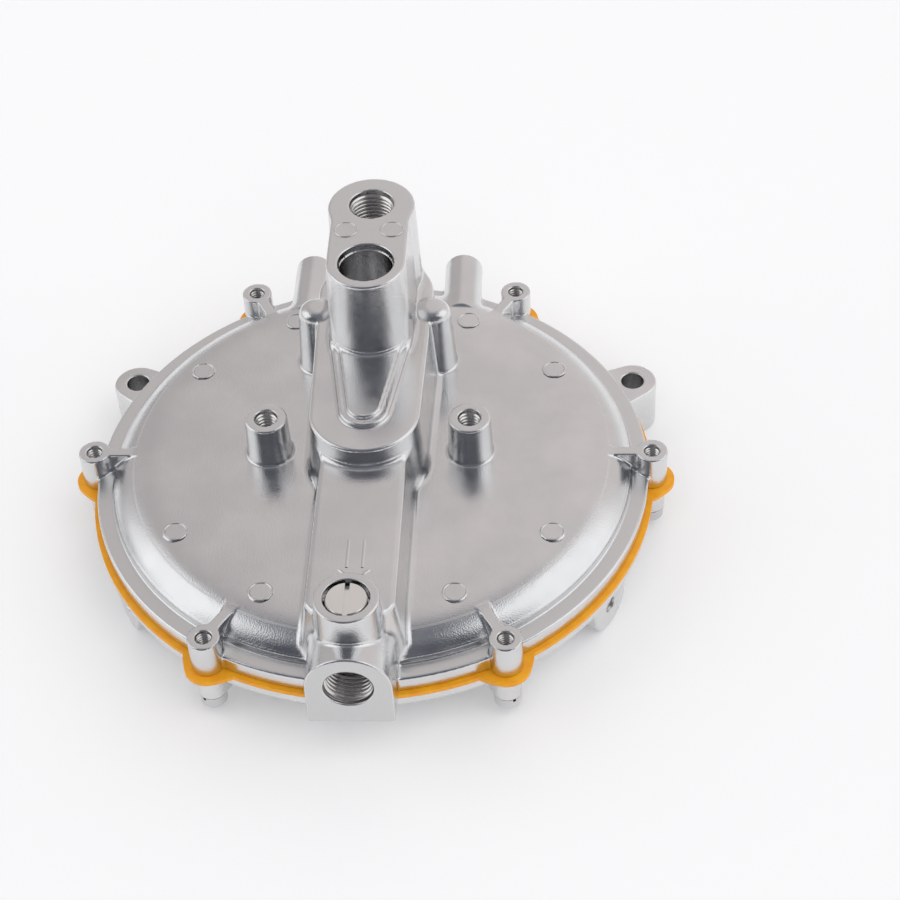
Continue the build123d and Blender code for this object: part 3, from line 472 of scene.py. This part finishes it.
def gradient(distance, points):
    """Unit gradient of the distance at loose points."""
    eps = 0.03
    slope = np.empty_like(points)
    for axis in range(3):
        ahead, behind = points.copy(), points.copy()
        ahead[:, axis] += eps
        behind[:, axis] -= eps
        slope[:, axis] = distance(*ahead.T) - distance(*behind.T)
    return slope / np.maximum(np.linalg.norm(slope, axis=1, keepdims=True), 1e-9)


def casting(name, distance, low, high, step, triangles):
    """Mesh object of a signed distance, thinned out where it is flat, with the distance's own normals."""
    points, quads = net(sample(distance, low, high, step), low, step)
    for _ in range(2):
        slope = gradient(distance, points)
        points -= np.clip(distance(*points.T), -step / 2, step / 2)[:, None] * slope * 0.8
    mesh = bpy.data.meshes.new(name)
    mesh.vertices.add(len(points))
    mesh.vertices.foreach_set("co", (points * MM).astype(np.float32).ravel())
    mesh.loops.add(4 * len(quads))
    mesh.loops.foreach_set("vertex_index", quads.astype(np.int32).ravel())
    mesh.polygons.add(len(quads))
    mesh.polygons.foreach_set("loop_start", np.arange(0, 4 * len(quads), 4, dtype=np.int32))
    mesh.update(calc_edges=True)
    rough = bpy.data.objects.new(name + "_full", mesh)
    bpy.context.scene.collection.objects.link(rough)
    thin = rough.modifiers.new("thin", "DECIMATE")
    thin.ratio = min(1.0, triangles / (2 * len(quads)))
    bpy.context.view_layer.update()
    final = bpy.data.meshes.new_from_object(rough.evaluated_get(bpy.context.evaluated_depsgraph_get()))
    final.name = name
    bpy.data.objects.remove(rough)
    bpy.data.meshes.remove(mesh)
    corners = np.empty(3 * len(final.vertices), np.float32)
    final.vertices.foreach_get("co", corners)
    corners = corners.reshape(-1, 3).astype(float) / MM
    final.polygons.foreach_set("use_smooth", np.ones(len(final.polygons), bool))
    final.normals_split_custom_set_from_vertices(gradient(distance, corners).astype(np.float32))
    piece = bpy.data.objects.new(name, final)
    bpy.context.scene.collection.objects.link(piece)
    return piece


# Threads and raised lines, as meshes of their own

def grid_mesh(name, points, closed_across):
    """Mesh over a grid of points in millimetres, joined round its second way if that is closed."""
    rows, columns = points.shape[:2]
    row, column = np.mgrid[0:rows - 1, 0:columns if closed_across else columns - 1]
    following = (column + 1) % columns
    quads = np.stack([row * columns + column, row * columns + following,
                      (row + 1) * columns + following, (row + 1) * columns + column], -1).reshape(-1, 4)
    mesh = bpy.data.meshes.new(name)
    mesh.from_pydata((points.reshape(-1, 3) * MM).tolist(), [], quads.tolist())
    mesh.polygons.foreach_set("use_smooth", np.ones(len(mesh.polygons), bool))
    piece = bpy.data.objects.new(name, mesh)
    bpy.context.scene.collection.objects.link(piece)
    return piece


def thread(name, mouth, inward, valley_r, crest_r, length, pitch):
    """Inside thread from a hole's mouth along a direction."""
    inward = Vector(inward)
    across = inward.orthogonal().normalized()
    other = inward.cross(across)
    columns = 72
    steps = max(4, int(length / pitch * (16)))
    turn = np.arange(columns) * 2 * pi / columns
    down = np.linspace(0, length, steps)[:, None]
    phase = (down / pitch - turn / (2 * pi)) % 1.0
    ridge = np.clip(1.5 * (1 - np.abs(2 * phase - 1)) - 0.25, 0, 1)
    fade = np.clip(down / pitch, 0, 1)
    radius = valley_r - (valley_r - crest_r) * ridge * fade
    points = (np.array(mouth) + down[..., None] * np.array(inward)
              + (radius * np.cos(turn))[..., None] * np.array(across)
              + (radius * np.sin(turn))[..., None] * np.array(other))
    return grid_mesh(name, points[:, ::-1], True)


def raised_line(name, corners, z, width, height):
    """Low rounded ridge along a path on a flat face."""
    profile = np.linspace(-1, 1, 9)
    rows = []
    for i, corner in enumerate(corners):
        before = Vector(corner) - Vector(corners[max(i - 1, 0)])
        after = Vector(corners[min(i + 1, len(corners) - 1)]) - Vector(corner)
        before = (before if before.length else after).normalized()
        after = (after if after.length else before).normalized()
        middle = (before + after).normalized()
        side = Vector((-middle.y, middle.x)) / max(0.4, middle.dot(after))
        rows.append([(corner[0] + side.x * p * width / 2, corner[1] + side.y * p * width / 2,
                      z + height * (1 - p ** 2) - 0.02) for p in profile])
    return grid_mesh(name, np.array(rows), False)


# Materials

def node_tree(name):
    material = bpy.data.materials.new(name)
    material.use_nodes = True
    nodes, links = material.node_tree.nodes, material.node_tree.links
    return material, nodes, links, nodes["Principled BSDF"]


def noise(nodes, links, scale, detail=3.0):
    vector = nodes.new("ShaderNodeTexCoord").outputs["Object"]
    texture = nodes.new("ShaderNodeTexNoise")
    texture.inputs["Scale"].default_value = scale
    texture.inputs["Detail"].default_value = detail
    links.new(vector, texture.inputs["Vector"])
    return texture.outputs["Fac"]


def ramp(nodes, links, source, low, high, start=0.35, end=0.65):
    stops = nodes.new("ShaderNodeValToRGB")
    stops.color_ramp.elements[0].position = start
    stops.color_ramp.elements[1].position = end
    stops.color_ramp.elements[0].color = low
    stops.color_ramp.elements[1].color = high
    links.new(source, stops.inputs["Fac"])
    return stops.outputs["Color"]


def bump(nodes, links, sources, shader):
    """Chain of bumps, each given as (height, strength, distance in metres)."""
    normal = None
    for height, strength, distance in sources:
        node = nodes.new("ShaderNodeBump")
        node.inputs["Strength"].default_value = strength
        node.inputs["Distance"].default_value = distance
        links.new(height, node.inputs["Height"])
        if normal:
            links.new(normal, node.inputs["Normal"])
        normal = node.outputs["Normal"]
    links.new(normal, shader.inputs["Normal"])


def supply(links, value, socket):
    """Feed a socket from another one, or give it a constant."""
    if isinstance(value, (float, tuple)):
        socket.default_value = value
    else:
        links.new(value, socket)


def mixed(nodes, links, share, first, second):
    """First colour, with a share of the second."""
    node = nodes.new("ShaderNodeMix")
    node.data_type = "RGBA"
    links.new(share, node.inputs["Factor"])
    supply(links, first, node.inputs["A"])
    supply(links, second, node.inputs["B"])
    return node.outputs["Result"]


def worked_out(nodes, links, operation, *values):
    node = nodes.new("ShaderNodeMath")
    node.operation = operation
    for value, socket in zip(values, node.inputs):
        supply(links, value, socket)
    return node.outputs[0]


def on_planes(nodes, links, planes):
    """Share that is 1 on flat faces towards -Y or +Z, each given as the axis, a place along it and a reach."""
    axes = nodes.new("ShaderNodeSeparateXYZ")
    links.new(nodes.new("ShaderNodeTexCoord").outputs["Object"], axes.inputs["Vector"])
    facing = nodes.new("ShaderNodeSeparateXYZ")
    links.new(nodes.new("ShaderNodeNewGeometry").outputs["Normal"], facing.inputs["Vector"])
    total = None
    for axis, level, reach in planes:
        outward = -1.0 if axis == "Y" else 1.0
        here = worked_out(nodes, links, "COMPARE", axes.outputs[axis], level * MM, reach * MM)
        square = worked_out(nodes, links, "COMPARE", facing.outputs[axis], outward, 0.1)
        flat = worked_out(nodes, links, "MULTIPLY", here, square)
        total = worked_out(nodes, links, "MAXIMUM", total, flat) if total else flat
    return total


def metal(name, dark, light, smooth, rough, grain, wave, grain_scale=1800.0, machined=()):
    """Metal with cloudy colour and polish, a fine grain and slow waves.

    Machined faces are given as planes, a share of the light colour that paints light or shade on them, and a
    roughness.
    """
    material, nodes, links, shader = node_tree(name)
    shader.inputs["Metallic"].default_value = 1.0
    colour = ramp(nodes, links, noise(nodes, links, 60.0), dark + (1,), light + (1,))
    polish = ramp(nodes, links, noise(nodes, links, 140.0, 5.0), (smooth,) * 3 + (1,), (rough,) * 3 + (1,))
    # Painted light and shade: each listed face gets a set share of the light colour instead of the cloudy colour
    for planes, shade, dull in machined:
        flat = on_planes(nodes, links, planes)
        colour = mixed(nodes, links, flat, colour, tuple(shade * value for value in light) + (1,))
        polish = mixed(nodes, links, flat, polish, (dull,) * 3 + (1,))
    links.new(colour, shader.inputs["Base Color"])
    links.new(polish, shader.inputs["Roughness"])
    bump(nodes, links, [(noise(nodes, links, 90.0, 1.0), wave, 0.001),
                        (noise(nodes, links, grain_scale, 2.0), grain, 0.0001)], shader)
    return material


def plain(name, dark, light, smooth, rough, scale, depth):
    """Rubber or paint with mottled colour and a dull grain."""
    material, nodes, links, shader = node_tree(name)
    mottle = noise(nodes, links, scale, 4.0)
    links.new(ramp(nodes, links, mottle, dark + (1,), light + (1,)), shader.inputs["Base Color"])
    links.new(ramp(nodes, links, mottle, (smooth,) * 3 + (1,), (rough,) * 3 + (1,)), shader.inputs["Roughness"])
    bump(nodes, links, [(noise(nodes, links, scale * 8, 3.0), 0.4, depth)], shader)
    return material


# Rougher machined faces. Their colour is painted shade on the outlet port's front face and painted light on the
# flat tops.
machined_faces_with_painted_light = [
    ([("Y", port_face_y, 0.1)], 0.87, 0.42),
    ([("Z", flow_boss_z, 0.1), ("Z", lug_top_z, 0.1), ("Z", tower_z, 0.1), ("Z", plate_z + mount_boss[4], 0.1),
      ("Z", ledge_z, 0.1)], 0.99, 0.34),
]
materials = {
    "cast_housing": metal("cast_metal", (0.69, 0.69, 0.695), (0.75, 0.75, 0.75), 0.13, 0.24, 0.5, 0.03, 2600.0,
                          machined=machined_faces_with_painted_light),
    "cast_cover": metal("cover_metal", (0.70, 0.70, 0.70), (0.79, 0.79, 0.79), 0.20, 0.34, 0.35, 0.03, 1200.0),
    "thread_metal": metal("thread_metal", (0.70, 0.68, 0.66), (0.80, 0.78, 0.76), 0.16, 0.28, 0.1, 0.0),
    "port_thread_metal": metal("port_thread_metal", (0.66, 0.64, 0.62), (0.78, 0.76, 0.74), 0.14, 0.26, 0.1, 0.0),
    "yellow_rubber": plain("yellow_rubber", (0.94, 0.37, 0.008), (1.0, 0.45, 0.014), 0.38, 0.55, 300.0, 0.00006),
    "black_rubber": plain("black_rubber", (0.012, 0.012, 0.013), (0.02, 0.02, 0.021), 0.4, 0.6, 400.0, 0.00006),
    "plated_steel": metal("plated_steel", (0.58, 0.58, 0.60), (0.70, 0.70, 0.71), 0.18, 0.32, 0.15, 0.01),
    "spring_steel": metal("spring_steel", (0.50, 0.50, 0.51), (0.62, 0.62, 0.63), 0.16, 0.28, 0.1, 0.0),
    "screw_steel": metal("screw_steel", (0.60, 0.60, 0.61), (0.72, 0.72, 0.73), 0.16, 0.30, 0.2, 0.01),
    "flow_screw_steel": metal("flow_screw_steel", (0.82, 0.81, 0.79), (0.88, 0.87, 0.85), 0.16, 0.26, 0.2, 0.02),
    "brass": metal("brass", (0.74, 0.50, 0.20), (0.83, 0.60, 0.28), 0.16, 0.28, 0.15, 0.01),
    "button_brass": metal("button_brass", (0.72, 0.49, 0.20), (0.80, 0.58, 0.28), 0.22, 0.34, 0.2, 0.01),
}


def dress(piece, body, slot, material=None):
    piece.data.materials.append(materials[material or slot])
    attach(piece, body)


# Castings

polished = casting("housing_casting", housing, (-81, -84, joint_z - 2), (81, 82, tower_z + 2),
                   0.45, 190000)
dress(polished, "housing", "cast_housing")
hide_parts("upper_housing")
bowl = casting("cover_casting", cover, (-81, -81, -1.5), (81, 81, cover_z + 1.5),
               0.5, 110000)
dress(bowl, "housing", "cast_cover")
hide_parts("cover")

# Threads
down = (0, 0, -1)
threads = [
    thread("inlet_thread", (0, inlet_y, tower_z - 0.9), down, *inlet_thread),
    thread("outlet_thread", (0, port_face_y + 0.9, outlet_z), (0, 1, 0), *outlet_thread),
]
for side in (-1, 1):
    mouth = (side * mount_boss[0], mount_boss[1], plate_z + mount_boss[4] - 0.6)
    threads.append(thread("mount_boss_thread", mouth, down, *mount_thread))
for angle in screw_angles:
    mouth = (screw_pitch_r * cos(radians(angle)), screw_pitch_r * sin(radians(angle)), lug_top_z - 0.5)
    threads.append(thread("lug_thread", mouth, down, *lug_thread))
for piece in threads:
    dress(piece, "housing", "cast_housing", "port_thread_metal")
for angle in side_boss_angles:
    c, s = cos(radians(angle)), sin(radians(angle))
    mouth = ((side_boss_face_r - 0.5) * c, (side_boss_face_r - 0.5) * s, side_boss_z)
    dress(thread("side_boss_thread", mouth, (-c, -s, 0), *side_thread), "housing", "cast_cover", "thread_metal")

# Arrow towards the outlet on the channel
arrow_lines = [[(-1.5, -45.4), (-1.5, -54.4)], [(2.4, -45.4), (2.4, -54.4)],
               [(4.2, -55.1), (0.45, -58.7), (-3.3, -55.1)]]
for line in arrow_lines:
    dress(raised_line("arrow_line", line, channel_z, 0.8, 0.22), "housing", "cast_housing")

# Thin ridges round the ejector marks
turns = np.linspace(0, 2 * pi, 49)
rings = [(x * side, y, plate_z + mark_rise) for x, y in marks for side in (-1, 1)]
rings += [(x, y, tower_z + tower_mark_rise) for x, y in tower_marks]
for mx, my, mz in rings:
    circle = [(mx + mark_r * cos(turn), my + mark_r * sin(turn)) for turn in turns]
    dress(raised_line("mark_ring", circle, mz, 0.55, 0.15), "housing", "cast_housing")

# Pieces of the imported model
for part in frame["record"]["subparts"]:
    mesh = frame["nodes"][part["node"]].data
    mesh.materials.clear()
    mesh.materials.append(materials[part["material_slot"]])

# Soft pieces: copies of the imported meshes


def soft_copy(name, node):
    source = frame["nodes"][node]
    piece = bpy.data.objects.new(name, source.data.copy())
    bpy.context.scene.collection.objects.link(piece)
    piece.matrix_world = source.matrix_world
    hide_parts(node)
    return piece


def flattened(name, node):
    """Copy of a coil, attached to the housing, with a mesh of its own."""
    coil = soft_copy(name, node)
    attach(coil, "housing")
    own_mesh(coil)


diaphragm_sheet = soft_copy("diaphragm_sheet", "diaphragm")
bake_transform(diaphragm_sheet)
flattened("lever_coil", "lever_spring")
flattened("primer_coil", "primer_spring")


# Floor, world and camera

floor_mesh = bpy.data.meshes.new("floor")
floor_half = 3.0
floor_glow = 0.12
floor_mesh.from_pydata([(-floor_half, -floor_half, 0), (floor_half, -floor_half, 0),
                        (floor_half, floor_half, 0), (-floor_half, floor_half, 0)], [], [(0, 1, 2, 3)])
floor = bpy.data.objects.new("floor", floor_mesh)
bpy.context.scene.collection.objects.link(floor)
floor_material, fn, fl, fs = node_tree("floor_white")
fs.inputs["Base Color"].default_value = (0.9, 0.9, 0.9, 1)
fs.inputs["Roughness"].default_value = 0.9
rays = fn.new("ShaderNodeLightPath")
seen = rays.outputs["Is Camera Ray"]
for kind in ("Is Glossy Ray", "Is Transmission Ray"):
    seen = worked_out(fn, fl, "MAXIMUM", seen, rays.outputs[kind])
fs.inputs["Emission Color"].default_value = (1, 1, 1, 1)
fl.new(worked_out(fn, fl, "MULTIPLY", seen, floor_glow), fs.inputs["Emission Strength"])
floor_mesh.materials.append(floor_material)

# Soft lamp that the polished metal doesn't mirror
lamp_data = bpy.data.lights.new("soft_lamp", "SUN")
lamp_data.energy = 1.3
lamp_data.angle = radians(70)
lamp = bpy.data.objects.new("soft_lamp", lamp_data)
lamp.rotation_euler = (radians(35), 0, radians(15))
lamp.visible_glossy = False
bpy.context.scene.collection.objects.link(lamp)

# A studio: dark in front and overhead, bright to both sides, warm grey behind, pale at the rest of the horizon
world = bpy.data.worlds.new("studio")
bpy.context.scene.world = world
world.use_nodes = True
wn, wl = world.node_tree.nodes, world.node_tree.links
direction = wn.new("ShaderNodeTexCoord")
axes = wn.new("ShaderNodeSeparateXYZ")
wl.new(direction.outputs["Generated"], axes.inputs["Vector"])


def band(axis, start, end):
    """Share that grows from 0 to 1 along an axis of the direction."""
    node = wn.new("ShaderNodeMapRange")
    node.interpolation_type = "SMOOTHSTEP"
    node.inputs["From Min"].default_value = start
    node.inputs["From Max"].default_value = end
    wl.new(axes.outputs[axis], node.inputs["Value"])
    return node.outputs["Result"]


def over(base, colour, share):
    return mixed(wn, wl, share, base, colour)


rear = over((0.55, 0.52, 0.52, 1), (0.735, 0.69, 0.685, 1), band("X", -0.30, 0.0))
sky = over((0.09, 0.095, 0.115, 1), (0.20, 0.21, 0.24, 1), band("Z", 0.55, 0.95))
sky = over(sky, rear, band("Y", -0.20, 0.60))
both_sides = worked_out(wn, wl, "MAXIMUM", band("X", -0.42, -0.55), band("X", 0.34, 0.47))
midway = worked_out(wn, wl, "MULTIPLY", band("Y", 0.55, 0.30), band("Y", -0.60, -0.30))
sides = worked_out(wn, wl, "MULTIPLY", both_sides, midway)
sky = over(sky, (1.15, 1.16, 1.18, 1), sides)
horizon = over((0.42, 0.42, 0.43, 1), (0.78, 0.78, 0.79, 1), band("X", -0.55, -0.15))
sky = over(sky, horizon, band("Z", 0.22, 0.06))
sky = over(sky, (0.15, 0.155, 0.175, 1), band("Y", -0.70, -0.88))
wl.new(sky, wn["Background"].inputs["Color"])
wn["Background"].inputs["Strength"].default_value = 1.0

# Camera at the photograph's place: angles in degrees, lengths in millimetres from the middle of the lug tops
camera_azimuth = 4.841
camera_elevation = 44.895
camera_roll = -3.574
camera_distance = 583.4
camera_right = 21.15
camera_up = 0.3
camera_lens = 87.108

a, e, roll = radians(camera_azimuth), radians(camera_elevation), radians(camera_roll)
back = Vector((sin(a) * cos(e), -cos(a) * cos(e), sin(e)))
level = Vector((cos(a), sin(a), 0))
upright = back.cross(level)
right = cos(roll) * level + sin(roll) * upright
above = cos(roll) * upright - sin(roll) * level
centre = Vector((0, 0, lug_top_z)) + back * camera_distance + right * camera_right + above * camera_up
lens = bpy.data.cameras.new("camera")
lens.lens = camera_lens
lens.sensor_width = 36.0
lens.clip_start = 0.01
camera = bpy.data.objects.new("camera", lens)
bpy.context.scene.collection.objects.link(camera)
camera.matrix_world = Matrix.Translation(centre * MM) @ Matrix((right, above, back)).transposed().to_4x4()
bpy.context.scene.camera = camera
bpy.context.scene.view_settings.view_transform = "Standard"
